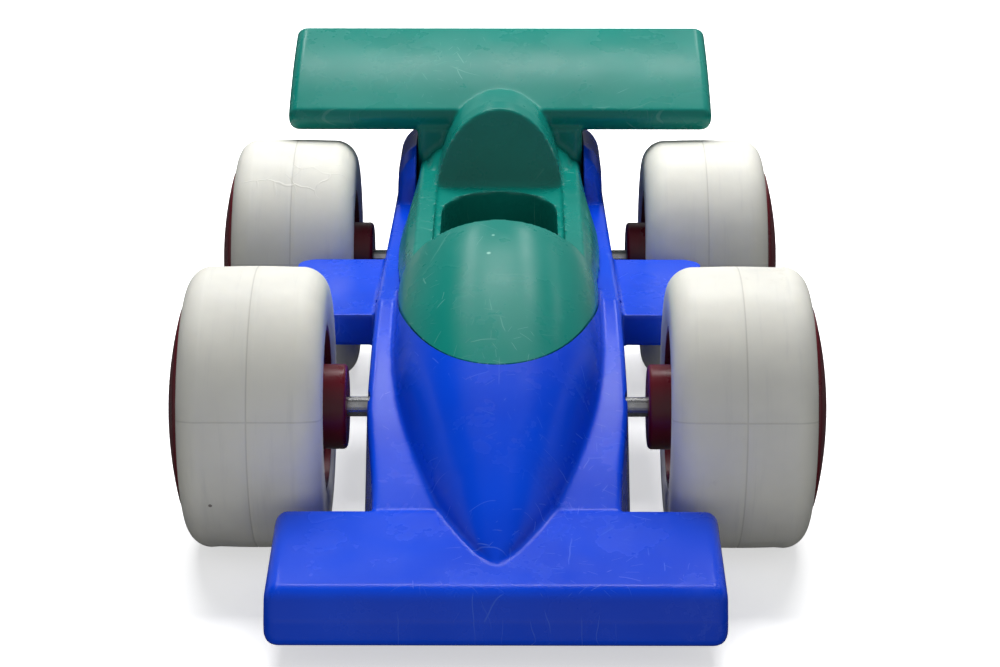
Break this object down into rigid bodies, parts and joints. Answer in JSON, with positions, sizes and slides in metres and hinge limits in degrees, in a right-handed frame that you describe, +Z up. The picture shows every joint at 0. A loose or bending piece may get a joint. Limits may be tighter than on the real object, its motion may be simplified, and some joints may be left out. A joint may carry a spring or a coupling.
{
  "type": "toy racing car",
  "caption": "Push-along open-wheel toy racing car with front and rear wings, an open cockpit and fat hollow tyres on rolling steel axles.",
  "frame": {"origin": "on the ground at the middle of the car's box", "axes": "+Z up, -Y towards the nose, +X across the car"},
  "size_m": [0.1626, 0.2563, 0.0947],
  "materials": {
    "blue_body": "satin gloss, lightly scuffed",
    "green_body": "satin gloss, lightly scuffed",
    "ivory_tyre": "soft matt plastic, aged and marked",
    "red_wheel": "satin",
    "steel_axle": "bright drawn rod",
    "zinc_screw": "zinc plated"
  },
  "bodies": {
    "car_body": {"lower_body": "blue_body", "upper_body": "green_body", "front_left_screw": "zinc_screw", "front_right_screw": "zinc_screw", "rear_left_screw": "zinc_screw", "rear_right_screw": "zinc_screw"},
    "front_wheelset": {"front_axle": "steel_axle", "front_left_tyre": "ivory_tyre", "front_left_hub": "red_wheel", "front_left_hub_cap": "red_wheel", "front_right_tyre": "ivory_tyre", "front_right_hub": "red_wheel", "front_right_hub_cap": "red_wheel"},
    "rear_wheelset": {"rear_axle": "steel_axle", "rear_left_tyre": "ivory_tyre", "rear_left_hub": "red_wheel", "rear_left_hub_cap": "red_wheel", "rear_right_tyre": "ivory_tyre", "rear_right_hub": "red_wheel", "rear_right_hub_cap": "red_wheel"}
  },
  "joints": [
    {"name": "front_axle_spin", "type": "hinge", "parent": "car_body", "child": "front_wheelset", "pos_m": [0, -0.049, 0.035], "axis": [1, 0, 0], "continuous": true},
    {"name": "rear_axle_spin", "type": "hinge", "parent": "car_body", "child": "rear_wheelset", "pos_m": [0, 0.08, 0.035], "axis": [1, 0, 0], "continuous": true}
  ]
}
